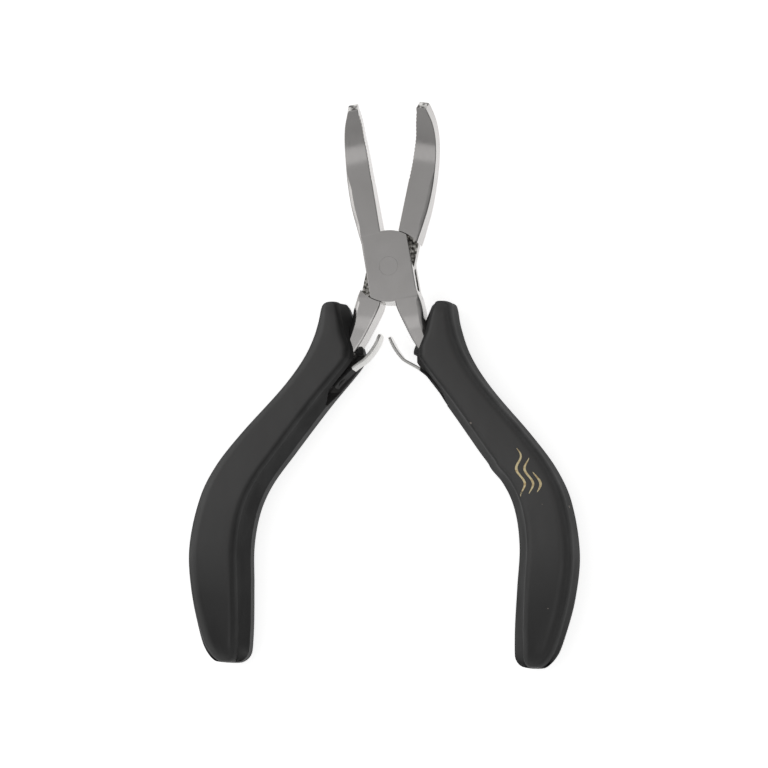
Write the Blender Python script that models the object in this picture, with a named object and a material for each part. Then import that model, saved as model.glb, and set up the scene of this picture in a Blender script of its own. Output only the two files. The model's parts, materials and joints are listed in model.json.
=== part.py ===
"""Small bent-nose fishing pliers with a box joint, double leaf springs and moulded grips.

Two steel halves turn on one flush rivet. The thin waist of the passing half runs through a
slot in the slotted half. Each half carries a moulded grip on its tang, and a leaf spring that
is riveted to the tang and comes out of a channel in the grip's inner side.

Metres, +Z up. The pliers lie on the flat backs of the grips (z = 0) with the jaw tips
towards +Y, and stand open as far as the springs hold them. The origin is below the middle
of the whole object. Shapes are drawn in millimetres from the pivot and scaled by MM.
"""

import math

import bmesh
import bpy
from mathutils import Matrix

MM = 0.001

# Layout
HALF_OPENING = math.radians(10.7)  # how far each half stands from its closed place
PIVOT_Y = 27.06
MID_Z = 6.5  # the middle plane of steel and grips, above the rest surface
GAP = 0.3  # between pieces that touch on the real object

# Joint
STEEL_HALF = 3.0  # half the thickness of the joint
JOINT_HALF_WIDTH = 5.25
CHEEK_RADIUS = 8.3  # the round ends of the cheeks
SHOULDER_RADIUS = 8.42  # the shoulders of the passing half that they turn against
SLOT_RADIUS = 8.6
SLOT_HALF = 1.12
WAIST_HALF = 0.95
RIVET_RADIUS = 2.2
RIVET_HOLE_RADIUS = 2.26

# Jaws: knots of (distance from the pivot, half-width of the jaw on one side of the middle)
JAW_END = 38.3
JAW_BEND_START = 24.2
JAW_BEND_RADIUS = 18.2  # of the front face
JAW_OUTER = [(6.4, 5.25), (10.0, 5.8), (16.0, 6.45), (23.0, 6.25), (30.0, 5.35), (JAW_END, 2.9)]
JAW_INNER = [(CHEEK_RADIUS, 0.6), (24.0, 0.55), (31.0, 0.42), (34.2, 0.06), (JAW_END, 0.06)]
JAW_TIP_THICKNESS = 3.0

# Tangs: knots of (distance from the pivot, place of the edge), in the closed frame
TANG_END = 42.2
TANG_INNER = [(CHEEK_RADIUS, 0.15), (10.1, 0.25), (14.5, 1.45), (19.1, 2.85), (26.2, 6.0),
              (34.2, 10.5), (TANG_END, 15.1)]
TANG_OUTER = [(6.5, 5.25), (11.2, 5.4), (14.9, 5.4), (20.0, 6.75), (27.0, 10.3),
              (35.0, 15.0), (TANG_END, 19.1)]
TANG_THIN_START = 11.0
TANG_THIN_END = 19.0
TANG_HALF = 2.0

# Grips: knots of (distance below the pivot, distance from the middle), in the open frame
GRIP_TOP = 8.5
GRIP_BOTTOM = 92.4
GRIP_HALF = 6.5
GRIP_OUTER = [(GRIP_TOP, 15.9), (13.6, 16.9), (21.0, 19.7), (28.4, 24.7), (39.5, 34.5), (46.9, 40.2),
              (54.3, 43.8), (66.0, 46.0), (76.5, 45.2), (85.0, 43.1), (GRIP_BOTTOM, 40.6)]
GRIP_MOUTH = [(GRIP_TOP, 10.2), (19.5, 5.95), (21.9, 6.05)]
GRIP_INNER = [(21.9, 6.05), (24.1, 7.6), (32.2, 14.1), (43.2, 22.2), (50.6, 27.4), (57.0, 30.1),
              (65.0, 31.3), (74.0, 31.0), (84.0, 30.7), (GRIP_BOTTOM, 30.9)]
INNER_ROLL = 1.7
INNER_DRAFT = 1.5
OUTER_ROLL = 3.0
OUTER_DRAFT = 0.7
CHANNEL_TOP = 20.4
CHANNEL_BOTTOM = 31.5
CHANNEL_HALF = 2.75

# Leaf springs, right-hand one, in the open frame
LEAF_PATH = [(0.95, -16.2), (2.6, -19.0), (4.6, -21.6), (7.8, -23.4), (11.1, -26.7), (14.2, -30.2)]
LEAF_SWING = (11.1, -26.7)  # the rivet, where the leaf leaves its seat
LEAF_THICKNESS = 0.6
LEAF_HALF_WIDTH = 2.15
LEAF_HOLE_RADIUS = 0.95
PIN_RADIUS = 0.6
PIN_HEAD_RADIUS = 1.2
PIN_HEAD_HEIGHT = 0.3

STEEL = ("steel", (0.56, 0.55, 0.53), 0.32, 1.0)
RIVET_STEEL = ("rivet_steel", (0.60, 0.58, 0.55), 0.30, 1.0)
SPRING_STEEL = ("spring_steel", (0.72, 0.72, 0.70), 0.22, 1.0)
GRIP_PLASTIC = ("grip_plastic", (0.035, 0.033, 0.032), 0.45, 0.0)


def clear_scene():
    for obj in list(bpy.data.objects):
        bpy.data.objects.remove(obj)


def make_material(name, color, roughness, metallic):
    found = bpy.data.materials.get(name)
    if found:
        return found
    made = bpy.data.materials.new(name)
    made.use_nodes = True
    shader = made.node_tree.nodes["Principled BSDF"]
    shader.inputs["Base Color"].default_value = (*color, 1.0)
    shader.inputs["Roughness"].default_value = roughness
    shader.inputs["Metallic"].default_value = metallic
    made.diffuse_color = (*color, 1.0)
    return made


def smooth_value(knots, at):
    """The value at a place on the smooth curve through (place, value) knots."""
    places = [knot[0] for knot in knots]
    values = [knot[1] for knot in knots]
    last = len(knots) - 1
    at = min(max(at, places[0]), places[last])
    span = next(i for i in range(last) if at <= places[i + 1])

    def slope(i):
        low, high = max(i - 1, 0), min(i + 1, last)
        return (values[high] - values[low]) / (places[high] - places[low])

    width = places[span + 1] - places[span]
    t = (at - places[span]) / width
    rise = values[span + 1] - values[span]
    start, end = slope(span) * width, slope(span + 1) * width
    return (values[span] + t * start + t * t * (3 * rise - 2 * start - end)
            + t * t * t * (start + end - 2 * rise))


def straight_value(knots, at):
    """The value at a place on the straight lines through (place, value) knots."""
    for (low, start), (high, end) in zip(knots, knots[1:]):
        if at <= high:
            return start + (end - start) * (at - low) / (high - low)
    return knots[-1][1]


def spread(start, end, steps):
    return [start + (end - start) * i / steps for i in range(steps + 1)]


def corner(center, radii, from_angle, steps):
    """A quarter turn of an ellipse, anticlockwise from an angle in degrees."""
    turned = []
    for angle in spread(math.radians(from_angle), math.radians(from_angle + 90), steps):
        turned.append((center[0] + radii[0] * math.cos(angle), center[1] + radii[1] * math.sin(angle)))
    return turned


def object_from(name, mesh_builder, finish, location=(0, 0, 0), angle=0.0):
    """A scene object from a bmesh in millimetres, with its origin on the axis it turns about."""
    bmesh.ops.recalc_face_normals(mesh_builder, faces=mesh_builder.faces)
    bmesh.ops.scale(mesh_builder, vec=(MM, MM, MM), verts=mesh_builder.verts)
    mesh = bpy.data.meshes.new(name)
    mesh_builder.to_mesh(mesh)
    mesh_builder.free()
    mesh.shade_smooth()
    mesh.set_sharp_from_angle(angle=math.radians(30))
    obj = bpy.data.objects.new(name, mesh)
    obj.location = [value * MM for value in location]
    obj.rotation_euler.z = angle
    bpy.context.scene.collection.objects.link(obj)
    if finish:
        mesh.materials.append(make_material(*finish))
    return obj


def loft(sections):
    """A closed bmesh through rings of the same number of points."""
    built = bmesh.new()
    rings = [[built.verts.new(point) for point in section] for section in sections]
    for ring, following in zip(rings, rings[1:]):
        for i, vert in enumerate(ring):
            after = (i + 1) % len(ring)
            built.faces.new((vert, ring[after], following[after], following[i]))
    built.faces.new(rings[0])
    built.faces.new(rings[-1])
    return built


def prism(outline, low, high):
    """A closed bmesh: an outline in XY between two heights."""
    built = bmesh.new()
    base = built.faces.new([built.verts.new((x, y, low)) for x, y in outline])
    raised = bmesh.ops.extrude_face_region(built, geom=[base])["geom"]
    moved = [item for item in raised if isinstance(item, bmesh.types.BMVert)]
    bmesh.ops.translate(built, vec=(0, 0, high - low), verts=moved)
    return built


def disc(radius, low, high, sides=96):
    angles = [2 * math.pi * i / sides for i in range(sides)]
    return prism([(radius * math.cos(a), radius * math.sin(a)) for a in angles], low, high)


def cut(obj, name, shape, angle=0.0, location=None):
    """Cuts a bmesh out of an object, in the object's own place."""
    cutter = object_from(name, shape, None, location or (0, 0, 0), angle)
    if location is None:
        cutter.location = obj.location
    cutter.hide_render = True
    cutter.display_type = "WIRE"
    modifier = obj.modifiers.new(name, "BOOLEAN")
    modifier.operation = "DIFFERENCE"
    modifier.solver = "EXACT"
    modifier.object = cutter


def bent(x, y, z):
    """A point of the straight jaw, moved to where the upward bend takes it."""
    if y <= JAW_BEND_START:
        return (x, y, z)
    angle = (y - JAW_BEND_START) / JAW_BEND_RADIUS
    reach = JAW_BEND_RADIUS + STEEL_HALF - z
    return (x, JAW_BEND_START + reach * math.sin(angle),
            STEEL_HALF + JAW_BEND_RADIUS - reach * math.cos(angle))


def bar_section(left, right, back, front, front_roll, back_roll):
    """A rectangle in XZ with its four corners rolled; the rolls are (left, right) radii."""
    width = right - left
    steps = 3
    ring = []
    for center_x, roll, from_angle in ((right, front_roll[1], 0), (left, front_roll[0], 90),
                                       (left, back_roll[0], 180), (right, back_roll[1], 270)):
        radius = min(roll, 0.45 * width)
        side = -1 if center_x == right else 1
        center_z = front - radius if from_angle < 180 else back + radius
        ring += corner((center_x + side * radius, center_z), (radius, radius), from_angle, steps)
    return ring


def half_stations():
    """Rows of (y, left edge, right edge) of a steel half, from the tang's end to the jaw's tip."""
    low_angle = math.acos(JOINT_HALF_WIDTH / CHEEK_RADIUS)
    arc = [(CHEEK_RADIUS * math.sin(a), CHEEK_RADIUS * math.cos(a))
           for a in spread(low_angle, math.radians(88), 9)]
    arc.append((CHEEK_RADIUS, -JAW_INNER[0][1]))
    rows = []
    for y in spread(TANG_END, CHEEK_RADIUS + 0.06, 17):
        rows.append((-y, smooth_value(TANG_INNER, y), smooth_value(TANG_OUTER, y)))
    for y, x in reversed(arc):
        right = smooth_value(TANG_OUTER, y)
        left = min(-x, TANG_INNER[0][1])
        rows.append((-y, left, right))
    for y, x in arc:
        rows.append((y, -smooth_value(JAW_OUTER, y), x))
    for y in spread(CHEEK_RADIUS + 0.06, JAW_BEND_START, 7) + spread(JAW_BEND_START, JAW_END, 9)[1:]:
        rows.append((y, -smooth_value(JAW_OUTER, y), -straight_value(JAW_INNER, y)))
    return rows


def half_sections(side, grow=0.0, last=math.inf):
    """Sections of a steel half: side 1 has its jaw on the left, side -1 is its mirror image."""
    sections = []
    for y, left, right in half_stations():
        if y > last:
            break
        thin = min(max((-y - TANG_THIN_START) / (TANG_THIN_END - TANG_THIN_START), 0.0), 1.0)
        front = STEEL_HALF + (TANG_HALF - STEEL_HALF) * thin + grow
        taper = min(max((y - 9.0) / (JAW_END - 9.0), 0.0), 1.0)
        back = -front + (2 * STEEL_HALF - JAW_TIP_THICKNESS) * taper
        outer = 0.45 + 0.5 * min(max((y - CHEEK_RADIUS) / 6.0, 0.0), 1.0)
        ring = bar_section(left - grow, right + grow, back, front,
                           (outer, 0.3 if y > 0 else 0.45), (outer + 0.3, 0.3))
        sections.append([bent(side * x, y, z) for x, z in ring])
    return sections


def make_half(name, side):
    """One steel half: jaw, joint and tang in one forging, turned open by its share."""
    turned = side * HALF_OPENING
    half = object_from(name, loft(half_sections(side)), STEEL, (0, PIVOT_Y, MID_Z), turned)
    if side > 0:
        cut(half, name + "_slot_cutter", disc(SLOT_RADIUS, -SLOT_HALF, SLOT_HALF), turned)
    else:
        tall = STEEL_HALF + 1
        cut(half, name + "_front_cutter", disc(SHOULDER_RADIUS, WAIST_HALF, tall), turned)
        cut(half, name + "_back_cutter", disc(SHOULDER_RADIUS, -tall, -WAIST_HALF), turned)
    cut(half, name + "_rivet_cutter", disc(RIVET_HOLE_RADIUS, -5, 5, 48), turned)
    seat = pin_shape(side, PIN_RADIUS + 0.05, 0.2, 3.0)
    cut(half, name + "_pin_cutter", seat, 0.0, swing_place(side))
    return half


def pin_shape(side, radius, start, end, head=None):
    """A round pin along the leaf's normal at its rivet, from the leaf towards the tang."""
    lean = math.atan2(LEAF_PATH[-1][1] - LEAF_PATH[-3][1], LEAF_PATH[-1][0] - LEAF_PATH[-3][0])
    profile = [(start, radius), (end, radius)]
    if head:
        profile = [(start - head[1], head[0]), (start, head[0])] + profile
    rings = []
    sides = 20
    for along, ring_radius in profile:
        ring = []
        for i in range(sides):
            angle = 2 * math.pi * i / sides
            ring.append((along, ring_radius * math.cos(angle), ring_radius * math.sin(angle)))
        rings.append(ring)
    built = loft(rings)
    bmesh.ops.rotate(built, matrix=Matrix.Rotation(lean + math.pi / 2, 3, "Z"), verts=built.verts)
    if side < 0:
        bmesh.ops.scale(built, vec=(-1, 1, 1), verts=built.verts)
    return built


def swing_place(side):
    return (side * LEAF_SWING[0], PIVOT_Y + LEAF_SWING[1], MID_Z)


def end_rounding(distance, reach):
    """How far a rounded end pulls in at a distance from it: 1 at the end, 0 past its reach."""
    if distance >= reach:
        return 0.0
    return 1 - math.sqrt(1 - (1 - distance / reach) ** 2)


def grip_section(down):
    """The grip's section at a distance below the pivot, as (x, z) from its inner parting line."""
    from_top, from_bottom = down - GRIP_TOP, GRIP_BOTTOM - down
    inner = (straight_value(GRIP_MOUTH, down) if down < GRIP_MOUTH[-1][0]
             else smooth_value(GRIP_INNER, down)) + 2.6 * end_rounding(from_bottom, 3.0)
    outer = (smooth_value(GRIP_OUTER, down) - 2.4 * end_rounding(from_bottom, 5.0)
             - 1.0 * end_rounding(from_top, 1.2))
    inner += 0.5 * end_rounding(from_top, 0.8)
    high = GRIP_HALF - 2.4 * end_rounding(from_top, 3.2) - 2.0 * end_rounding(from_bottom, 4.0)
    full = INNER_ROLL + INNER_DRAFT + OUTER_ROLL + OUTER_DRAFT
    fit = min(1.0, 0.75 * (outer - inner) / full)
    inner_roll, outer_roll = INNER_ROLL * fit, OUTER_ROLL * fit
    left = inner + INNER_DRAFT * fit
    right = outer - OUTER_DRAFT * fit
    upper = corner((right - outer_roll, high - outer_roll), (outer_roll, outer_roll), 0, 4)
    upper += corner((left + inner_roll, high - inner_roll), (inner_roll, inner_roll), 90, 3)
    lower = [(x, -z) for x, z in reversed(upper)]
    return [(outer, 0.0)] + upper + [(inner, 0.0)] + lower


def grip_stations():
    top = [GRIP_TOP + step for step in (0.0, 0.1, 0.4, 1.0, 1.9, 3.2)]
    bottom = [GRIP_BOTTOM - step for step in (4.0, 2.6, 1.5, 0.7, 0.2, 0.0)]
    return top + spread(13.6, 21.9, 4) + spread(24.1, bottom[0], 30)[:-1] + bottom


def make_grip(name, side):
    """One moulded grip, pushed over the tang, with the spring channel in its inner side."""
    sections = []
    for down in grip_stations():
        sections.append([(side * x, -down, z) for x, z in grip_section(down)])
    grip = object_from(name, loft(sections), GRIP_PLASTIC, (0, PIVOT_Y, MID_Z))
    pocket = loft(half_sections(side, GAP, last=-GRIP_TOP + 0.4))
    cut(grip, name + "_tang_cutter", pocket, side * HALF_OPENING)
    channel = []
    for down in spread(CHANNEL_TOP, CHANNEL_BOTTOM, 6):
        edge = smooth_value(GRIP_INNER, down)
        depth = 3.7 - 0.8 * max(0.0, (down - 29.0) / (CHANNEL_BOTTOM - 29.0))
        ring = [(edge - 3, -CHANNEL_HALF), (edge + depth, -CHANNEL_HALF),
                (edge + depth, CHANNEL_HALF), (edge - 3, CHANNEL_HALF)]
        channel.append([(side * x, -down, z) for x, z in ring])
    cut(grip, name + "_channel_cutter", loft(channel))
    return grip


def smooth_path(points, per_span):
    """Points along the smooth curve through the given ones."""
    lengths = [0.0]
    for (x0, y0), (x1, y1) in zip(points, points[1:]):
        lengths.append(lengths[-1] + math.hypot(x1 - x0, y1 - y0))
    along_x = [(length, point[0]) for length, point in zip(lengths, points)]
    along_y = [(length, point[1]) for length, point in zip(lengths, points)]
    places = spread(0.0, lengths[-1], per_span * (len(points) - 1))
    return [(smooth_value(along_x, place), smooth_value(along_y, place)) for place in places]


def make_leaf(name, side):
    """One leaf spring: a bent strip with a hole for its rivet, turning about that rivet."""
    path = smooth_path(LEAF_PATH, 6)
    half = LEAF_THICKNESS / 2
    upper, lower = [], []
    for i, (x, y) in enumerate(path):
        before, after = path[max(i - 1, 0)], path[min(i + 1, len(path) - 1)]
        along = math.hypot(after[0] - before[0], after[1] - before[1])
        normal = (-(after[1] - before[1]) / along, (after[0] - before[0]) / along)
        upper.append((x + half * normal[0], y + half * normal[1]))
        lower.append((x - half * normal[0], y - half * normal[1]))
    outline = [(side * (x - LEAF_SWING[0]), y - LEAF_SWING[1]) for x, y in upper + lower[::-1]]
    strip = prism(outline, -LEAF_HALF_WIDTH, LEAF_HALF_WIDTH)
    leaf = object_from(name, strip, SPRING_STEEL, swing_place(side))
    cut(leaf, name + "_hole_cutter", pin_shape(side, LEAF_HOLE_RADIUS, -1.5, 1.5))
    return leaf


def make_spring_rivet(name, side):
    """The small headed pin that holds a leaf spring to its tang."""
    start = -LEAF_THICKNESS / 2 - GAP
    shape = pin_shape(side, PIN_RADIUS, start, 2.7, (PIN_HEAD_RADIUS, PIN_HEAD_HEIGHT))
    return object_from(name, shape, RIVET_STEEL, swing_place(side))


def main():
    clear_scene()
    make_half("slotted_half", 1)
    make_half("passing_half", -1)
    object_from("pivot_rivet", disc(RIVET_RADIUS, -STEEL_HALF, STEEL_HALF, 48), RIVET_STEEL,
                (0, PIVOT_Y, MID_Z))
    for hand, side in (("right", 1), ("left", -1)):
        make_grip(hand + "_grip", side)
        make_leaf(hand + "_leaf_spring", side)
        make_spring_rivet(hand + "_spring_rivet", side)


main()
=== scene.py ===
import json
import math

import bmesh
import bpy
from mathutils import Matrix, Vector


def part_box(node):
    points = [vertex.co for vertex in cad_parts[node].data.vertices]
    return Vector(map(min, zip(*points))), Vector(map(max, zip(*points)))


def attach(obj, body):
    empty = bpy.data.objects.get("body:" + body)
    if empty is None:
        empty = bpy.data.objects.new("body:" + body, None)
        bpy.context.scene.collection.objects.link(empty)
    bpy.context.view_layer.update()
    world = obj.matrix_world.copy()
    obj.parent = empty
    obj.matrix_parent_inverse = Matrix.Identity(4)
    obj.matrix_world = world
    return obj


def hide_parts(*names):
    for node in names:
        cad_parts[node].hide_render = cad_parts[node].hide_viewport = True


# Small bent-nose fishing pliers: the visible surfaces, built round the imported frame.
# Shapes are drawn in millimetres from the pivot, as seen from the front (+Z), and MM scales them.

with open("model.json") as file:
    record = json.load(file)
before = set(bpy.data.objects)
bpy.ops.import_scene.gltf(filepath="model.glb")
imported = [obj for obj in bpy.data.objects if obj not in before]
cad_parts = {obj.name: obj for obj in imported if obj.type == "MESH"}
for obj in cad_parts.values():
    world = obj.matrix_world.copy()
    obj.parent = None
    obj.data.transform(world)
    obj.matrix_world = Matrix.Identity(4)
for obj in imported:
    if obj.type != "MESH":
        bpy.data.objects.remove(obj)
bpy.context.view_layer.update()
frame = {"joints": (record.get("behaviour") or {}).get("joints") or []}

MM = 0.001
SHORTEST_EDGE = 0.000004  # metres; shorter ones are dissolved
JOINTS = {joint["name"]: joint for joint in frame["joints"]}
PIVOT = Vector(JOINTS["pivot"]["pos_m"])
HALF_OPENING = math.radians(JOINTS["pivot"]["range_deg"][1] / 2)


def box_mm(node):
    """The lowest and highest corners of a CAD node in millimetres from the pivot."""
    low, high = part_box(node)
    return (low - PIVOT) / MM, (high - PIVOT) / MM


RIVET_LOW, RIVET_HIGH = box_mm("pivot_rivet")
GRIP_LOW, GRIP_HIGH = box_mm("right_grip")

# Steel halves
STEEL_HALF = RIVET_HIGH.z
RIVET_RADIUS = RIVET_HIGH.x
RIVET_HOLE_RADIUS = RIVET_RADIUS + 0.01
RIVET_SIDES = 96
RIVET_RIM = 0.018
RIVET_SUNK = 0.002
STEEL_LEAN = math.radians(0.7)  # both halves lean a little to the left of the grips' middle
JOINT_HALF_WIDTH = 5.5
CHEEK_RADIUS = 8.5
SHOULDER_RADIUS = 8.6  # the recess over and under the waist
SLOT_RADIUS = 8.75
SLOT_HALF = 1.1
WAIST_HALF = 0.97
JAW_END = 38.3
JAW_BEND_START = 24.2
JAW_BEND_RADIUS = 18.2
JAW_TAPER_START = 9.0  # from here to the tip the jaw gets thinner at the back
JAW_TIP_THICKNESS = 3.0
TIP_ROUNDING = (0.3, 0.22)  # how long the eased end is, and how far it pulls in
TIP_FACING = 0.85  # faces this close to the end's own direction are ground
# Outlines are (distance along the half from the pivot, distance from its middle line).
JAW_OUTER = [(6.4, 5.5), (10.0, 5.95), (16.0, 6.5), (23.0, 6.35), (30.0, 5.5), (34.5, 4.3),
             (JAW_END, 2.5)]
JAW_INNER = [(CHEEK_RADIUS, 0.6), (24.0, 0.55), (31.0, 0.42), (34.2, 0.1), (JAW_END, 0.1)]
TEETH_START = 21.0
TOOTH_PITCH = 0.9
TOOTH_DEPTH = 0.12
TANG_END = 42.2
TANG_INNER = [(CHEEK_RADIUS, 0.15), (10.1, 0.25), (14.5, 1.45), (19.1, 2.95), (26.2, 6.4),
              (34.2, 10.9), (TANG_END, 15.1)]
TANG_OUTER = [(6.5, 5.5), (9.2, 5.95), (11.2, 6.15), (14.9, 6.1), (20.0, 7.0), (27.0, 10.3),
              (35.0, 15.0), (TANG_END, 19.1)]
TANG_STEP = (12.4, 16.0)  # between these distances the face steps down to the tang
TANG_HALF = 2.9
# Bevels are (width across the face, drop down the side).
EDGE_BEVEL = (0.16, 0.16)
CHEEK_BEVEL = (0.4, 0.22)
CHEEK_BEVEL_END = 20.0
JAW_BEVEL = (0.9, 0.42)
JAW_BEVEL_FADE = (19.5, 24.5)
TANG_BEVEL = (1.1, 0.6)

# Grips: outlines are (distance below the pivot, distance from the middle)
GRIP_TOP = -GRIP_HIGH.y
GRIP_BOTTOM = -GRIP_LOW.y
GRIP_HALF = GRIP_HIGH.z
GRIP_OUTER = [(GRIP_TOP, 15.9), (13.6, 16.9), (21.0, 19.7), (28.4, 24.7), (39.5, 34.5),
              (46.9, 40.2), (54.3, 43.8), (66.0, 46.0), (76.5, 45.2), (85.0, 43.1),
              (GRIP_BOTTOM, 40.6)]
GRIP_MOUTH = [(GRIP_TOP, 10.2), (19.5, 5.95), (21.9, 6.05)]
GRIP_INNER = [(21.9, 6.05), (24.1, 7.6), (32.2, 14.1), (43.2, 22.2), (50.6, 27.4), (57.0, 30.1),
              (65.0, 31.3), (74.0, 31.0), (84.0, 30.7), (GRIP_BOTTOM, 30.9)]
GRIP_SLOPE_START = 64.0  # from here the face slopes down to the lower end
GRIP_SLOPE_DROP = 3.0
GRIP_CROWN = 0.1
CROWN_ROOM = 0.12  # left free for the crown under the grip's full height
INNER_ROLL = (2.0, 2.6)  # width and height of the round edge between the face and the inner side
OUTER_ROLL = (3.3, 3.2)
FACE_DRAFTS = (2.3, 0.8)  # how far the inner and outer sides lean in above the parting line
BACK_DRAFTS = (0.3, 0.5)
SLIM = (42.0, 55.0)  # between these distances the right-hand grip gets slimmer on the inside
SLIM_DEPTH = 0.8
BUMP = (45.6, 47.2, 50.2)  # a moulding swell on the right-hand grip's inner side
BUMP_HEIGHT = 0.35
POCKET_GAP = 0.06  # round the tang
CHANNEL_TOP = 20.4
CHANNEL_BOTTOM = 32.4
CHANNEL_HALF = 2.75
CHANNEL_DEPTH = 3.7
CHANNEL_RUN_OUT = 29.0  # from here the channel gets shallower

# Gold motif on the right-hand grip: a few wave strokes, one beside the other
MOTIF_ACROSS = 33.0  # from the middle
MOTIF_TOP = 43.1  # below the pivot
MOTIF_SLOPE = 0.17
MOTIF_SWING = 0.75
MOTIF_WAVE = 6.4  # the length of one wave
MOTIF_HALF = 0.26
MOTIF_SUNK = 0.1
MOTIF_RAISED = 0.015
MOTIF_STROKES = [(-1.0, 0.0, 11.0), (0.9, 2.2, 8.2), (2.6, 5.4, 4.6)]  # offset, start, length

# Leaf springs, from the free tip to the root, drawn for the right-hand side
LEAF_SWING = (11.1, -26.7)
LEAF_END = (12.4, -28.2)
LEAF_PATHS = {
    "right": [(0.35, -16.5), (1.9, -19.3), (3.9, -21.8), (5.6, -22.8), (7.9, -24.1),
              LEAF_SWING, LEAF_END],
    "left": [(1.85, -15.8), (2.5, -17.8), (3.9, -20.1), (5.5, -21.9), (7.7, -23.4),
             LEAF_SWING, LEAF_END]}
LEAF_THICKNESS = 0.68
LEAF_HALF_WIDTH = 2.15
LEAF_EDGE = 0.14
LEAF_ROOT = 8.1  # farther out than this the strip is painted dark as shade
PIN_RADIUS = 0.6
PIN_REACH = 2.6
PIN_HEAD_RADIUS = 1.1
PIN_DOME = 0.25

# Camera, in metres
VIEW_WIDTH = 0.1784  # of the view in the plane of the pivot
CAMERA_DISTANCE = 0.7
AIM_RIGHT = -0.000835
AIM_UP = -0.000286


# ---------------------------------------------------------------- shapes

def smooth_value(knots, at):
    """The value at a place on the smooth curve through (place, value) knots."""
    places = [knot[0] for knot in knots]
    values = [knot[1] for knot in knots]
    last = len(knots) - 1
    at = min(max(at, places[0]), places[last])
    span = next(i for i in range(last) if at <= places[i + 1])

    def slope(i):
        low, high = max(i - 1, 0), min(i + 1, last)
        return (values[high] - values[low]) / (places[high] - places[low])

    width = places[span + 1] - places[span]
    t = (at - places[span]) / width
    rise = values[span + 1] - values[span]
    start, end = slope(span) * width, slope(span + 1) * width
    return (values[span] + t * start + t * t * (3 * rise - 2 * start - end)
            + t * t * t * (start + end - 2 * rise))


def straight_value(knots, at):
    """The value at a place on the straight lines through (place, value) knots."""
    for (low, start), (high, end) in zip(knots, knots[1:]):
        if at <= high:
            return start + (end - start) * (at - low) / (high - low)
    return knots[-1][1]


def ease(at, start, end):
    """0 before start, 1 after end, and a smooth step between them."""
    t = min(max((at - start) / (end - start), 0.0), 1.0)
    return t * t * (3 - 2 * t)


def spread(start, end, steps):
    """Evenly spaced values from start to end."""
    return [start + (end - start) * i / steps for i in range(steps + 1)]


def arc(center, radii, from_angle, to_angle, steps):
    """Points along an ellipse between two angles in degrees."""
    turned = []
    for angle in spread(math.radians(from_angle), math.radians(to_angle), steps):
        turned.append((center[0] + radii[0] * math.cos(angle),
                       center[1] + radii[1] * math.sin(angle)))
    return turned


def to_frame(point, turn=0.0):
    """A point in millimetres about the pivot, turned about it, in the frame's metres."""
    x, y, z = point
    c, s = math.cos(turn), math.sin(turn)
    return PIVOT + MM * Vector((c * x - s * y, s * x + c * y, z))


def loft(sections, turn=0.0):
    """A closed bmesh in the frame's metres, through rings of the same number of points."""
    built = bmesh.new()
    rings = []
    for section in sections:
        rings.append([built.verts.new(to_frame(point, turn)) for point in section])
    for ring, following in zip(rings, rings[1:]):
        for i, vert in enumerate(ring):
            after = (i + 1) % len(ring)
            built.faces.new((vert, ring[after], following[after], following[i]))
    built.faces.new(rings[0])
    built.faces.new(rings[-1])
    bmesh.ops.recalc_face_normals(built, faces=built.faces)
    return built


def turned_shape(profile, center, axis, sides):
    """A closed bmesh turned about an axis through center, from (along the axis, radius) pairs."""
    across = axis.orthogonal().normalized()
    other = axis.cross(across)
    sections = []
    for along, radius in profile:
        ring = []
        for i in range(sides):
            angle = 2 * math.pi * i / sides
            outward = math.cos(angle) * across + math.sin(angle) * other
            ring.append(center + along * axis + radius * outward)
        sections.append(ring)
    return loft(sections)


def disc(radius, low, high, sides=160):
    """A round plate about the pivot, between two heights."""
    profile = [(low, radius), (high, radius)]
    return turned_shape(profile, Vector((0, 0, 0)), Vector((0, 0, 1)), sides)


def shown(name, built, material, sharp=35):
    """A scene object from a bmesh that is already in the frame's metres."""
    mesh = bpy.data.meshes.new(name)
    built.to_mesh(mesh)
    built.free()
    mesh.shade_smooth()
    mesh.set_sharp_from_angle(angle=math.radians(sharp))
    obj = bpy.data.objects.new(name, mesh)
    bpy.context.scene.collection.objects.link(obj)
    mesh.materials.append(material)
    return obj


def carve(obj, cutters, sharp=35):
    """Cuts the cutters, made of (bmesh, material), out of an object for good, and cleans it."""
    made = []
    for i, (built, material) in enumerate(cutters):
        cutter = shown(obj.name + "_cutter_" + str(i), built, material)
        modifier = obj.modifiers.new("cut", "BOOLEAN")
        modifier.operation = "DIFFERENCE"
        modifier.solver = "EXACT"
        modifier.material_mode = "TRANSFER"
        modifier.object = cutter
        made.append(cutter)
    bpy.context.view_layer.update()
    graph = bpy.context.evaluated_depsgraph_get()
    carved = bpy.data.meshes.new_from_object(obj.evaluated_get(graph))
    cleaned = bmesh.new()
    cleaned.from_mesh(carved)
    many_sided = [face for face in cleaned.faces if len(face.verts) > 4]
    bmesh.ops.triangulate(cleaned, faces=many_sided)
    bmesh.ops.dissolve_degenerate(cleaned, dist=SHORTEST_EDGE, edges=cleaned.edges)
    cleaned.to_mesh(carved)
    cleaned.free()
    obj.modifiers.clear()
    obj.data = carved
    carved.name = obj.name
    carved.shade_smooth()
    carved.set_sharp_from_angle(angle=math.radians(sharp))
    for cutter in made:
        bpy.data.objects.remove(cutter)
    return obj


def flatten_shading(obj):
    """Large faces keep their own direction in the shading, and narrow bevels take the turn."""
    modifier = obj.modifiers.new("weighted", "WEIGHTED_NORMAL")
    modifier.keep_sharp = True
    modifier.weight = 80
    return obj


# ---------------------------------------------------------------- materials

def new_material(name, color, roughness, metallic):
    """A material with one principled shader."""
    made = bpy.data.materials.new(name)
    made.use_nodes = True
    shader = made.node_tree.nodes["Principled BSDF"]
    shader.inputs["Base Color"].default_value = (*color, 1.0)
    shader.inputs["Roughness"].default_value = roughness
    shader.inputs["Metallic"].default_value = metallic
    made.diffuse_color = (*color, 1.0)
    return made


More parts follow.
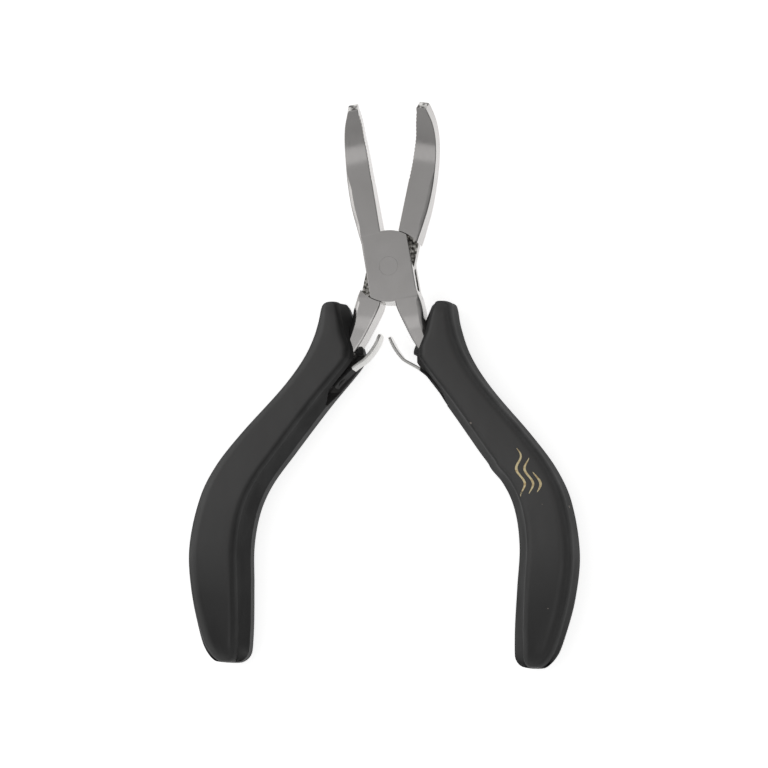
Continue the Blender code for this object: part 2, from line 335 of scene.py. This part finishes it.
def add_node(material, kind, **values):
    """A new node, with values for its sockets or its settings."""
    node = material.node_tree.nodes.new(kind)
    for key, value in values.items():
        if key in node.inputs:
            node.inputs[key].default_value = value
        else:
            setattr(node, key, value)
    return node


def join(material, start, start_socket, end, end_socket):
    """Links two nodes; sockets are given by name or by number."""
    material.node_tree.links.new(start.outputs[start_socket], end.inputs[end_socket])


def fill_ramp(node, stops):
    """Gives a colour ramp its (place, colour) stops."""
    elements = node.color_ramp.elements
    while len(elements) < len(stops):
        elements.new(0.5)
    for element, (place, color) in zip(elements, stops):
        element.position = place
        element.color = (*color, 1.0)
    return node


def ramp(material, source, socket, stops):
    """A colour ramp over a node's value, with (place, colour) stops."""
    node = fill_ramp(add_node(material, "ShaderNodeValToRGB"), stops)
    join(material, source, socket, node, "Fac")
    return node


def placed_noise(material, scale, detail=2.0, stretch=(1, 1, 1)):
    """Noise in the frame's own space, so its grain has a real size: scale is per metre."""
    place = add_node(material, "ShaderNodeTexCoord")
    mapping = add_node(material, "ShaderNodeMapping", Scale=stretch)
    noise = add_node(material, "ShaderNodeTexNoise", Scale=scale, Detail=detail)
    join(material, place, "Object", mapping, "Vector")
    join(material, mapping, "Vector", noise, "Vector")
    return noise


def spread_range(material, node, socket, low, high, to_low, to_high):
    """Maps a node's value from one range to another, held at the ends."""
    mapped = add_node(material, "ShaderNodeMapRange")
    mapped.clamp = True
    limits = {"From Min": low, "From Max": high, "To Min": to_low, "To Max": to_high}
    for key, value in limits.items():
        mapped.inputs[key].default_value = value
    join(material, node, socket, mapped, "Value")
    return mapped


def add_bump(material, layers):
    """Stacks bump layers of (noise node, socket, strength, height in metres) on the shader."""
    shader = material.node_tree.nodes["Principled BSDF"]
    before = None
    for node, socket, strength, height in layers:
        bump = add_node(material, "ShaderNodeBump", Strength=strength, Distance=height)
        join(material, node, socket, bump, "Height")
        if before:
            join(material, before, "Normal", bump, "Normal")
        before = bump
    join(material, before, "Normal", shader, "Normal")


def polished_steel(name, dark, light, roughness, grain=0.05):
    """Ground and polished steel: cloudy tone, very faint scratches, slightly uneven gloss."""
    made = new_material(name, light, roughness, 1.0)
    shader = made.node_tree.nodes["Principled BSDF"]
    clouds = placed_noise(made, 120, 3.0)
    tone = ramp(made, clouds, "Fac", [(0.3, dark), (0.7, light)])
    join(made, tone, "Color", shader, "Base Color")
    scratches = placed_noise(made, 700, 3.0, (1.6, 0.6, 1.6))
    gloss = spread_range(made, scratches, "Fac", 0.3, 0.7, roughness - 0.02, roughness + 0.03)
    join(made, gloss, "Result", shader, "Roughness")
    fine = placed_noise(made, 2600, 2.0)
    add_bump(made, [(scratches, "Fac", grain, 0.00001), (fine, "Fac", grain, 0.00001)])
    return made


def forged_steel():
    """The unpolished hollows of the joint: dark scale with bright worn flecks."""
    made = new_material("forged_steel", (0.2, 0.19, 0.18), 0.5, 1.0)
    shader = made.node_tree.nodes["Principled BSDF"]
    lumps = placed_noise(made, 1300, 4.0)
    tone = ramp(made, lumps, "Fac", [(0.36, (0.05, 0.047, 0.044)), (0.52, (0.24, 0.23, 0.21)),
                                     (0.64, (0.8, 0.78, 0.74))])
    join(made, tone, "Color", shader, "Base Color")
    gloss = spread_range(made, lumps, "Fac", 0.35, 0.65, 0.55, 0.22)
    join(made, gloss, "Result", shader, "Roughness")
    add_bump(made, [(lumps, "Fac", 0.9, 0.0003)])
    return made


def ground_steel():
    """The ground ends of the jaws: bright, with dark pits."""
    made = new_material("ground_steel", (0.6, 0.59, 0.57), 0.4, 1.0)
    shader = made.node_tree.nodes["Principled BSDF"]
    pits = placed_noise(made, 900, 3.0)
    tone = ramp(made, pits, "Fac", [(0.40, (0.10, 0.095, 0.09)), (0.5, (0.36, 0.35, 0.34)),
                                    (0.62, (0.66, 0.65, 0.63))])
    join(made, tone, "Color", shader, "Base Color")
    gloss = spread_range(made, pits, "Fac", 0.4, 0.6, 0.5, 0.3)
    join(made, gloss, "Result", shader, "Roughness")
    add_bump(made, [(pits, "Fac", 0.6, 0.0002)])
    return made


def grip_plastic():
    """Black moulded plastic: a satin face, a little rubbed, its colour darkened towards the lower
    ends as painted shade, and matt sides as they came out of the mould, their colour painted
    darker as shade."""
    made = new_material("grip_plastic", (0.014, 0.0135, 0.0135), 0.42, 0.0)
    shader = made.node_tree.nodes["Principled BSDF"]
    shader.inputs["Specular IOR Level"].default_value = 0.72

    place = add_node(made, "ShaderNodeTexCoord")
    parts = add_node(made, "ShaderNodeSeparateXYZ")
    join(made, place, "Object", parts, "Vector")
    # Painted shade: the base colour gets darker towards the grip's lower end, standing in for the
    # light falling off there.
    low_end = PIVOT.y - GRIP_BOTTOM * MM
    along = spread_range(made, parts, "Y", low_end, low_end + 0.04, 0.0, 1.0)
    tone = ramp(made, along, "Result", [
        (0.0, (0.002, 0.002, 0.002)), (0.35, (0.009, 0.0088, 0.0088)),
        (0.7, (0.033, 0.0322, 0.032)), (1.0, (0.045, 0.0438, 0.0432))])

    # Painted shade: faces turned away from straight up get a near-black base colour, standing in
    # for the shade on the grip's sides.
    geometry = add_node(made, "ShaderNodeNewGeometry")
    direction = add_node(made, "ShaderNodeSeparateXYZ")
    join(made, geometry, "Normal", direction, "Vector")
    side_shade_mask = spread_range(made, direction, "Z", 0.6, 0.97, 0.0, 1.0)
    painted_side_shade = add_node(made, "ShaderNodeMixRGB", Color1=(0.004, 0.004, 0.004, 1.0))
    join(made, side_shade_mask, "Result", painted_side_shade, "Fac")
    join(made, tone, "Color", painted_side_shade, "Color2")

    specks = placed_noise(made, 640, 0.0)
    dust = spread_range(made, specks, "Fac", 0.885, 0.9, 0.0, 1.0)
    dusty = add_node(made, "ShaderNodeMixRGB", Color2=(0.2, 0.17, 0.15, 1.0))
    join(made, dust, "Result", dusty, "Fac")
    join(made, painted_side_shade, "Color", dusty, "Color1")
    join(made, dusty, "Color", shader, "Base Color")

    rub = placed_noise(made, 260, 4.0, (1.0, 0.35, 1.0))
    gloss = spread_range(made, rub, "Fac", 0.3, 0.7, 0.36, 0.48)
    matt = spread_range(made, direction, "Z", 0.6, 0.97, 0.36, 0.0)
    roughness = add_node(made, "ShaderNodeMath", operation="ADD")
    join(made, gloss, "Result", roughness, 0)
    join(made, matt, "Result", roughness, 1)
    join(made, roughness, "Value", shader, "Roughness")

    pebbles = placed_noise(made, 2400, 2.0)
    waves = placed_noise(made, 90, 2.0)
    add_bump(made, [(waves, "Fac", 0.25, 0.0004), (pebbles, "Fac", 0.2, 0.00003)])
    return made


def channel_shade_steel():
    """Painted shade for the spring's root and its rivet, where they sit inside the grip."""
    made = new_material("channel_shade_steel", (0.012, 0.012, 0.012), 0.85, 0.0)
    shader = made.node_tree.nodes["Principled BSDF"]
    shade_mottle = placed_noise(made, 900, 3.0)
    tone = ramp(made, shade_mottle, "Fac", [(0.35, (0.008, 0.008, 0.008)),
                                      (0.65, (0.016, 0.0155, 0.015))])
    join(made, tone, "Color", shader, "Base Color")
    return made


def gold_foil():
    """Hot-stamped gold print, thin and slightly uneven."""
    made = new_material("gold_foil", (0.78, 0.64, 0.36), 0.36, 0.85)
    shader = made.node_tree.nodes["Principled BSDF"]
    wear = placed_noise(made, 1500, 3.0)
    tone = ramp(made, wear, "Fac", [(0.3, (0.50, 0.36, 0.18)), (0.55, (0.84, 0.72, 0.44))])
    join(made, tone, "Color", shader, "Base Color")
    gloss = spread_range(made, wear, "Fac", 0.3, 0.7, 0.28, 0.5)
    join(made, gloss, "Result", shader, "Roughness")
    return made


def floor_paint():
    """Matte white paper sweep, lit from below its surface as on a light table."""
    made = new_material("floor_paper", (0.9, 0.9, 0.895), 0.9, 0.0)
    shader = made.node_tree.nodes["Principled BSDF"]
    shader.inputs["Specular IOR Level"].default_value = 0.1
    shader.inputs["Emission Color"].default_value = (1.0, 1.0, 1.0, 1.0)
    shader.inputs["Emission Strength"].default_value = 0.72
    return made


# ---------------------------------------------------------------- steel halves

def bent(x, y, z):
    """A point of the straight jaw, moved to where the upward bend takes it."""
    if y <= JAW_BEND_START:
        return (x, y, z)
    angle = (y - JAW_BEND_START) / JAW_BEND_RADIUS
    reach = JAW_BEND_RADIUS + STEEL_HALF - z
    return (x, JAW_BEND_START + reach * math.sin(angle),
            STEEL_HALF + JAW_BEND_RADIUS - reach * math.cos(angle))


def bevel_points(width):
    """A straight bevel with eased ends, as shares of its width and drop, from face to side."""
    ease_share = min(0.12, 0.06 / max(width, 0.01))
    return [(0.0, 0.0), (ease_share, ease_share * 0.45), (0.5, 0.5),
            (1 - ease_share * 0.45, 1 - ease_share), (1.0, 1.0)]


def bar_ring(left, right, back, front, left_bevel, right_bevel):
    """A bar's section in XZ. Each bevel is (width, drop) on both of that side's edges."""
    room = 0.42 * (right - left)
    ring = []
    wide, deep = min(right_bevel[0], room), min(right_bevel[1], 0.4 * (front - back))
    points = bevel_points(wide)
    ring += [(right - wide + u * wide, front - v * deep) for u, v in points]
    ring += [(right - wide + u * wide, back + v * deep) for u, v in reversed(points)]
    wide, deep = min(left_bevel[0], room), min(left_bevel[1], 0.4 * (front - back))
    points = bevel_points(wide)
    ring += [(left + wide - u * wide, back + v * deep) for u, v in points]
    ring += [(left + wide - u * wide, front - v * deep) for u, v in reversed(points)]
    return ring


def half_stations():
    """Rows of (y, left edge, right edge) of a steel half, from the tang's end to the jaw's tip.
    They stand closest round the cheek's round ends and along the teeth."""
    low_angle = math.acos(JOINT_HALF_WIDTH / CHEEK_RADIUS)
    round_end = [(CHEEK_RADIUS * math.sin(a), CHEEK_RADIUS * math.cos(a))
                 for a in spread(low_angle, math.radians(86), 26)]
    round_end.append((CHEEK_RADIUS + 0.02, -JAW_INNER[0][1]))
    rows = []
    for y in spread(TANG_END, 16.0, 24) + spread(15.7, CHEEK_RADIUS + 0.25, 26):
        rows.append((-y, smooth_value(TANG_INNER, y), smooth_value(TANG_OUTER, y)))
    for y, x in reversed(round_end):
        rows.append((-y, min(-x, TANG_INNER[0][1]), smooth_value(TANG_OUTER, y)))
    for y, x in round_end:
        rows.append((y, -smooth_value(JAW_OUTER, y), x))
    for y in spread(CHEEK_RADIUS + 0.4, TEETH_START - TOOTH_PITCH / 2, 16):
        rows.append((y, -smooth_value(JAW_OUTER, y), -straight_value(JAW_INNER, y)))
    teeth = int((JAW_END - 0.3 - TEETH_START) / TOOTH_PITCH)
    for i in range(2 * teeth):
        y = TEETH_START + i * TOOTH_PITCH / 2
        notch = TOOTH_DEPTH if i % 2 else 0.0
        rows.append((y, -smooth_value(JAW_OUTER, y), -straight_value(JAW_INNER, y) - notch))
    for y in (JAW_END - 0.28, JAW_END - 0.1, JAW_END):  # the eased end
        rows.append((y, -smooth_value(JAW_OUTER, y), -straight_value(JAW_INNER, y)))
    return rows


def blend_bevels(start, end, share):
    """The bevel that lies between two bevels."""
    return tuple(low + (high - low) * share for low, high in zip(start, end))


def half_sections(side, grow=0.0, last=math.inf):
    """Sections of a steel half: side 1 has its jaw on the left, side -1 is its mirror image. They
    can be grown outwards, and stop at a last y."""
    sections = []
    for y, left, right in half_stations():
        if y > last:
            break
        front = STEEL_HALF - (STEEL_HALF - TANG_HALF) * ease(-y, *TANG_STEP)
        taper = min(max((y - JAW_TAPER_START) / (JAW_END - JAW_TAPER_START), 0.0), 1.0)
        back = -front + (2 * STEEL_HALF - JAW_TIP_THICKNESS) * taper
        rounding = ease(y, JAW_END - TIP_ROUNDING[0], JAW_END)
        pull = TIP_ROUNDING[1] * (1 - math.sqrt(1 - rounding ** 2))
        if y > 0:
            jaw = ease(y, CHEEK_RADIUS - 1.0, CHEEK_RADIUS + 3.0) * (1 - ease(y, *JAW_BEVEL_FADE))
            plain = EDGE_BEVEL if y > CHEEK_BEVEL_END else CHEEK_BEVEL
            left_bevel = blend_bevels(plain, JAW_BEVEL, jaw)
            right_bevel = EDGE_BEVEL
        else:
            tang = ease(-y, CHEEK_RADIUS - 0.5, CHEEK_RADIUS + 1.5)
            left_bevel = blend_bevels(EDGE_BEVEL, [0.5 * size for size in TANG_BEVEL], tang)
            right_bevel = blend_bevels(EDGE_BEVEL, TANG_BEVEL, tang)
        ring = bar_ring(left - grow + pull, right + grow - pull, back - grow + pull,
                        front + grow - pull, left_bevel, right_bevel)
        sections.append([bent(side * x, y, z) for x, z in ring])
    return sections


def grind_tip(half, turn, ground):
    """Gives the jaw's end face, and its eased edge, the ground material."""
    half.data.materials.append(ground)
    slot = len(half.data.materials) - 1
    end_angle = (JAW_END - JAW_BEND_START) / JAW_BEND_RADIUS
    level = math.cos(end_angle)
    facing = Vector((-math.sin(turn) * level, math.cos(turn) * level, math.sin(end_angle)))
    for face in half.data.polygons:
        if face.normal.dot(facing) > TIP_FACING:
            face.material_index = slot


def make_half(name, side, body, polish, forged, ground):
    """One forging. On side 1 it has the slot, and on side -1 the waist that passes through it."""
    turn = side * HALF_OPENING + STEEL_LEAN
    half = shown("steel_" + name, loft(half_sections(side), turn), polish)
    if side > 0:
        cutters = [(disc(SLOT_RADIUS, -SLOT_HALF, SLOT_HALF), forged)]
    else:
        tall = STEEL_HALF + 1
        cutters = [(disc(SHOULDER_RADIUS, WAIST_HALF, tall), forged),
                   (disc(SHOULDER_RADIUS, -tall, -WAIST_HALF), forged)]
    cutters.append((disc(RIVET_HOLE_RADIUS, -5, 5, RIVET_SIDES), forged))
    carve(half, cutters)
    grind_tip(half, turn, ground)
    flatten_shading(half)
    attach(half, body)
    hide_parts(name)
    return half


def make_pivot_rivet(polish):
    """A flush rivet: ground flat, with a fine eased rim."""
    flush = STEEL_HALF - RIVET_SUNK
    profile = [(-flush, RIVET_RADIUS - RIVET_RIM), (-flush + RIVET_RIM, RIVET_RADIUS),
               (flush - RIVET_RIM, RIVET_RADIUS), (flush, RIVET_RADIUS - RIVET_RIM)]
    built = turned_shape(profile, Vector((0, 0, 0)), Vector((0, 0, 1)), RIVET_SIDES)
    rivet = shown("flush_rivet", built, polish)
    flatten_shading(rivet)
    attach(rivet, "slotted_lever")
    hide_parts("pivot_rivet")


# ---------------------------------------------------------------- grips

def end_rounding(distance, reach):
    """How far a rounded end pulls in at a distance from it: 1 at the end, 0 past its reach."""
    if distance >= reach:
        return 0.0
    return 1 - math.sqrt(1 - (1 - distance / reach) ** 2)


def grip_half_profile(inner, outer, high, drafts):
    """The upper or lower half of a grip's section as (across, height), from the outer parting line
    over the face to the inner one. Drafts are (inner, outer)."""
    inner_draft, outer_draft = drafts
    full = inner_draft + outer_draft + INNER_ROLL[0] + OUTER_ROLL[0]
    fit = min(1.0, 0.82 * (outer - inner) / full)
    left = inner + fit * inner_draft
    right = outer - fit * outer_draft
    outer_center = (right - fit * OUTER_ROLL[0], high - OUTER_ROLL[1])
    inner_center = (left + fit * INNER_ROLL[0], high - INNER_ROLL[1])
    points = [(outer, 0.0), (outer - 0.03, 0.06)]
    points += [(outer - fit * outer_draft * t, outer_center[1] * t) for t in (0.35, 0.7)]
    points += arc(outer_center, (fit * OUTER_ROLL[0], OUTER_ROLL[1]), 0, 90, 12)
    for t in (0.2, 0.4, 0.6, 0.8):
        x = outer_center[0] + (inner_center[0] - outer_center[0]) * t
        points.append((x, high + GRIP_CROWN * (4 * t * (1 - t)) * fit))
    points += arc(inner_center, (fit * INNER_ROLL[0], INNER_ROLL[1]), 90, 180, 9)
    points += [(inner + fit * inner_draft * t, inner_center[1] * t) for t in (0.7, 0.35)]
    points += [(inner + 0.03, 0.06), (inner, 0.0)]
    return points


def grip_section(down, side):
    """The grip's whole section at a distance below the pivot, with both ends rounded. The
    right-hand grip is a little slimmer."""
    from_top, from_bottom = down - GRIP_TOP, GRIP_BOTTOM - down
    mouth = down < GRIP_MOUTH[-1][0]
    inner = straight_value(GRIP_MOUTH, down) if mouth else smooth_value(GRIP_INNER, down)
    inner += 2.6 * end_rounding(from_bottom, 3.0)
    inner += 0.5 * end_rounding(from_top, 0.8)
    outer = (smooth_value(GRIP_OUTER, down) - 2.4 * end_rounding(from_bottom, 5.0)
             - 1.0 * end_rounding(from_top, 1.2))
    if side > 0:
        inner += SLIM_DEPTH * ease(down, *SLIM)
        inner -= BUMP_HEIGHT * ease(down, BUMP[0], BUMP[1]) * (1 - ease(down, BUMP[1], BUMP[2]))
    sloped = max(0.0, (down - GRIP_SLOPE_START) / (GRIP_BOTTOM - GRIP_SLOPE_START))
    high = (GRIP_HALF - CROWN_ROOM - 2.6 * end_rounding(from_top, 3.4)
            - 2.2 * end_rounding(from_bottom, 4.5))
    upper = grip_half_profile(inner, outer, high - GRIP_SLOPE_DROP * sloped ** 2, FACE_DRAFTS)
    lower = grip_half_profile(inner, outer, high + 0.02, BACK_DRAFTS)
    return upper + [(x, -z) for x, z in reversed(lower)][1:-1]


def grip_stations():
    """Distances below the pivot of a grip's sections, closest at both rounded ends."""
    top = [GRIP_TOP + step for step in (0.0, 0.06, 0.2, 0.45, 0.8, 1.2, 1.7, 2.3, 3.0, 3.8)]
    bottom = [GRIP_BOTTOM - step for step in (5.2, 4.2, 3.3, 2.5, 1.8, 1.2, 0.7, 0.35, 0.1, 0.0)]
    return top + spread(13.2, 21.9, 12) + spread(22.4, bottom[0], 96)[:-1] + bottom


def spring_channel(side):
    """The channel for the leaf spring. It runs out in a shallow, narrow end."""
    sections = []
    for down in spread(CHANNEL_TOP, CHANNEL_BOTTOM, 14):
        edge = smooth_value(GRIP_INNER, down)
        depth = CHANNEL_DEPTH - 3.3 * ease(down, CHANNEL_RUN_OUT, CHANNEL_BOTTOM)
        half = CHANNEL_HALF - 2.1 * ease(down, 28.6, CHANNEL_BOTTOM)
        outside = edge - 3
        ring = [(outside, -half), (edge + depth, -half), (edge + depth, half), (outside, half)]
        sections.append([(side * x, -down, z) for x, z in ring])
    return loft(sections)


def make_grip(name, side, body, plastic):
    """A grip with a pocket for its tang and a channel for its spring."""
    sections = []
    for down in grip_stations():
        sections.append([(side * x, -down, z) for x, z in grip_section(down, side)])
    grip = shown("moulded_" + name, loft(sections), plastic)
    tang = half_sections(side, POCKET_GAP, last=-GRIP_TOP + 0.4)
    pocket = loft(tang, side * HALF_OPENING + STEEL_LEAN)
    carve(grip, [(pocket, plastic), (spring_channel(side), plastic)], sharp=40)
    flatten_shading(grip)
    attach(grip, body)
    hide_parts(name)
    return grip


def motif_strokes():
    """Three upright wave strokes of different lengths, as rows of (distance below the pivot,
    left edge, right edge)."""
    strokes = []
    for offset, start, length in MOTIF_STROKES:
        rows = []
        for t in spread(0.0, 1.0, 36):
            down = MOTIF_TOP + start + length * t
            middle = (MOTIF_ACROSS + offset + MOTIF_SLOPE * (down - MOTIF_TOP)
                      + MOTIF_SWING * math.sin(2 * math.pi * (start + length * t) / MOTIF_WAVE))
            half = 0.04 + MOTIF_HALF * math.sin(math.pi * t) ** 0.6  # fullest in the middle
            rows.append((down, middle - half, middle + half))
        strokes.append(rows)
    return strokes


def make_motif(grip, body, gold):
    """A plain wave motif stamped on the grip's face, following its crown."""

    def face_height(x, down):
        start = to_frame((x, -down, 2 * GRIP_HALF))
        hit, place, _normal, _face = grip.ray_cast(start, Vector((0, 0, -1)))
        return (place.z - PIVOT.z) / MM if hit else GRIP_HALF

    for i, rows in enumerate(motif_strokes()):
        sections = []
        for down, left, right in rows:
            left_high, right_high = face_height(left, down), face_height(right, down)
            sections.append([(left, -down, left_high - MOTIF_SUNK),
                             (right, -down, right_high - MOTIF_SUNK),
                             (right, -down, right_high + MOTIF_RAISED),
                             (left, -down, left_high + MOTIF_RAISED)])
        stroke = shown("gold_wave_" + str(i + 1), loft(sections), gold)
        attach(stroke, body)


# ---------------------------------------------------------------- springs and their rivets

def smooth_path(points, per_span):
    """Points along the smooth curve through the given ones."""
    lengths = [0.0]
    for (x0, y0), (x1, y1) in zip(points, points[1:]):
        lengths.append(lengths[-1] + math.hypot(x1 - x0, y1 - y0))
    along_x = [(length, point[0]) for length, point in zip(lengths, points)]
    along_y = [(length, point[1]) for length, point in zip(lengths, points)]
    places = spread(0.0, lengths[-1], per_span * (len(points) - 1))
    return [(smooth_value(along_x, place), smooth_value(along_y, place)) for place in places]


def make_leaf(name, side, path, body, nickel, channel_shade):
    """A bent strip with eased edges and a rounded free end; its root is painted shade."""
    path = smooth_path(path, 14)
    sections = []
    thick = LEAF_THICKNESS / 2
    edge = LEAF_EDGE
    length = 0.0
    for i, (x, y) in enumerate(path):
        before, after = path[max(i - 1, 0)], path[min(i + 1, len(path) - 1)]
        if i:
            length += math.hypot(x - path[i - 1][0], y - path[i - 1][1])
        along = math.hypot(after[0] - before[0], after[1] - before[1])
        normal = (-(after[1] - before[1]) / along, (after[0] - before[0]) / along)
        wide = LEAF_HALF_WIDTH - 1.1 * end_rounding(length + 0.02, 1.6)
        ring = []
        for across, z in ((thick, wide - edge), (thick - edge, wide), (edge - thick, wide),
                          (-thick, wide - edge), (-thick, edge - wide), (edge - thick, -wide),
                          (thick - edge, -wide), (thick, edge - wide)):
            ring.append((side * (x + across * normal[0]), y + across * normal[1], z))
        sections.append(ring)
    leaf = shown("strip_" + name, loft(sections), nickel, 50)
    # Painted shade: the strip's root, inside the grip, gets the near-black material.
    leaf.data.materials.append(channel_shade)
    for face in leaf.data.polygons:
        if abs(face.center.x - PIVOT.x) > LEAF_ROOT * MM:
            face.material_index = 1
    flatten_shading(leaf)
    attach(leaf, body)
    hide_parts(name)


def make_spring_rivet(name, side, body, polish):
    """The small domed pin that holds a leaf spring to its tang."""
    lean = Vector((LEAF_END[0] - LEAF_SWING[0], LEAF_END[1] - LEAF_SWING[1], 0)).normalized()
    axis = Vector((-lean.y * side, lean.x, 0))
    head = -LEAF_THICKNESS / 2 - 0.05
    dome = [(head - PIN_DOME + PIN_DOME * (1 - math.cos(a)), PIN_HEAD_RADIUS * math.sin(a))
            for a in spread(math.radians(12), math.radians(90), 7)]
    profile = dome + [(head, PIN_RADIUS), (PIN_REACH, PIN_RADIUS)]
    center = Vector((side * LEAF_SWING[0], LEAF_SWING[1], 0))
    # the material passed in is the near-black painted shade
    pin = shown("domed_" + name, turned_shape(profile, center, axis, 36), polish)
    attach(pin, body)
    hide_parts(name)


# ---------------------------------------------------------------- build

steel = polished_steel("polished_steel", (0.50, 0.485, 0.475), (0.54, 0.525, 0.515), 0.2)
rivet_steel = polished_steel("rivet_steel", (0.50, 0.485, 0.475), (0.55, 0.535, 0.525), 0.2)
nickel = polished_steel("spring_nickel", (0.55, 0.545, 0.53), (0.74, 0.73, 0.71), 0.26)
forged = forged_steel()
ground = ground_steel()
# painted shade for the springs' roots and their rivets inside the grips
channel_shade = channel_shade_steel()
plastic = grip_plastic()
gold = gold_foil()

make_half("slotted_half", 1, "slotted_lever", steel, forged, ground)
make_half("passing_half", -1, "passing_lever", steel, forged, ground)
make_pivot_rivet(rivet_steel)
for hand, side, lever in (("right", 1, "slotted_lever"), ("left", -1, "passing_lever")):
    grip = make_grip(hand + "_grip", side, lever, plastic)
    if side > 0:
        make_motif(grip, lever, gold)
    make_leaf(hand + "_leaf_spring", side, LEAF_PATHS[hand], hand + "_leaf", nickel, channel_shade)
    # Painted shade: the spring rivet, inside the grip, gets the near-black material.
    make_spring_rivet(hand + "_spring_rivet", side, lever, channel_shade)


# ---------------------------------------------------------------- stage

def make_floor():
    """A flat sheet just under the grips' backs."""
    built = bmesh.new()
    bmesh.ops.create_grid(built, x_segments=1, y_segments=1, size=3.0)
    bmesh.ops.translate(built, verts=built.verts, vec=(0, 0, -0.00002))
    shown("floor", built, floor_paint())


def world_ramp(tree, source, socket, stops):
    """A ramp of greys over a node's value, with (place, brightness) stops."""
    greys = [(place, (level, level, level)) for place, level in stops]
    shade = fill_ramp(tree.nodes.new("ShaderNodeValToRGB"), greys)
    tree.links.new(source.outputs[socket], shade.inputs["Fac"])
    return shade


def world_range(tree, source, socket):
    """Maps a direction's part from between -1 and 1 to between 0 and 1."""
    mapped = tree.nodes.new("ShaderNodeMapRange")
    mapped.inputs["From Min"].default_value = -1.0
    tree.links.new(source.outputs[socket], mapped.inputs["Value"])
    return mapped


def make_world():
    """A light tent: white low down, brighter on the left than on the right, and overhead a soft
    band of light just beyond the middle, towards the jaws."""
    world = bpy.data.worlds.new("light_tent")
    bpy.context.scene.world = world
    world.use_nodes = True
    tree = world.node_tree
    background = tree.nodes["Background"]
    place = tree.nodes.new("ShaderNodeTexCoord")
    parts = tree.nodes.new("ShaderNodeSeparateXYZ")
    tree.links.new(place.outputs["Generated"], parts.inputs["Vector"])
    along = world_range(tree, parts, "Y")
    across = world_range(tree, parts, "X")
    overhead = world_ramp(tree, along, "Result", [
        (0.0, 0.30), (0.25, 0.36), (0.33, 0.24), (0.52, 0.28),
        (0.555, 0.49), (0.68, 0.45), (0.8, 0.25), (1.0, 0.25)])
    sides = world_ramp(tree, across, "Result", [
        (0.0, 0.62), (0.16, 0.6), (0.25, 0.40), (0.72, 0.36), (0.84, 0.16), (1.0, 0.08)])
    above = world_ramp(tree, parts, "Z", [(0.0, 0.0), (0.6, 0.0), (0.78, 1.0), (1.0, 1.0)])
    level = world_ramp(tree, parts, "Z", [(0.0, 1.0), (0.02, 0.9), (0.09, 0.0), (1.0, 0.0)])
    upper = tree.nodes.new("ShaderNodeMixRGB")
    whole = tree.nodes.new("ShaderNodeMixRGB")
    tree.links.new(above.outputs["Color"], upper.inputs["Fac"])
    tree.links.new(sides.outputs["Color"], upper.inputs["Color1"])
    tree.links.new(overhead.outputs["Color"], upper.inputs["Color2"])
    tree.links.new(level.outputs["Color"], whole.inputs["Fac"])
    tree.links.new(upper.outputs["Color"], whole.inputs["Color1"])
    whole.inputs["Color2"].default_value = (1.1, 1.1, 1.09, 1.0)
    tree.links.new(whole.outputs["Color"], background.inputs["Color"])


def make_light(name, place, target, power, size):
    """A soft rectangular light, in metres and watts; size is (width, height)."""
    data = bpy.data.lights.new(name, "AREA")
    data.energy = power
    data.shape = "RECTANGLE"
    data.size, data.size_y = size
    light = bpy.data.objects.new(name, data)
    light.location = place
    light.rotation_euler = (Vector(target) - Vector(place)).to_track_quat("-Z", "Y").to_euler()
    bpy.context.scene.collection.objects.link(light)


def make_camera():
    """Nearly straight above, tilted a little towards +X and towards the handles."""
    tilt, pitch, roll = math.radians(13.0), math.radians(-8.4), math.radians(1.85)
    back = Vector((math.sin(tilt) * math.cos(pitch), math.sin(pitch),
                   math.cos(tilt) * math.cos(pitch)))
    right = Vector((0, 1, 0)).cross(back).normalized()
    up = back.cross(right)
    rolled_right = math.cos(roll) * right + math.sin(roll) * up
    rolled_up = math.cos(roll) * up - math.sin(roll) * right
    aim = Vector((0, 0, PIVOT.z)) + AIM_RIGHT * rolled_right + AIM_UP * rolled_up
    data = bpy.data.cameras.new("camera")
    data.angle = 2 * math.atan(VIEW_WIDTH / 2 / CAMERA_DISTANCE)
    data.clip_start = 0.01
    camera = bpy.data.objects.new("camera", data)
    place = aim + CAMERA_DISTANCE * back
    camera.matrix_world = Matrix((
        (rolled_right.x, rolled_up.x, back.x, place.x),
        (rolled_right.y, rolled_up.y, back.y, place.y),
        (rolled_right.z, rolled_up.z, back.z, place.z),
        (0, 0, 0, 1)))
    bpy.context.scene.collection.objects.link(camera)
    bpy.context.scene.camera = camera


make_floor()
make_world()
make_light("key", place=(-0.85, 0.25, 0.5), target=(0, 0, 0), power=0.55, size=(0.5, 0.5))
make_light("fill", place=(0.5, -0.5, 1.0), target=(0, 0, 0), power=1.5, size=(0.8, 0.8))
make_light("near_panel", place=(-0.13, -0.018, 0.45), target=(-0.13, -0.018, 0), power=0.08,
           size=(0.28, 0.19))
make_camera()
bpy.context.scene.view_settings.view_transform = "Standard"
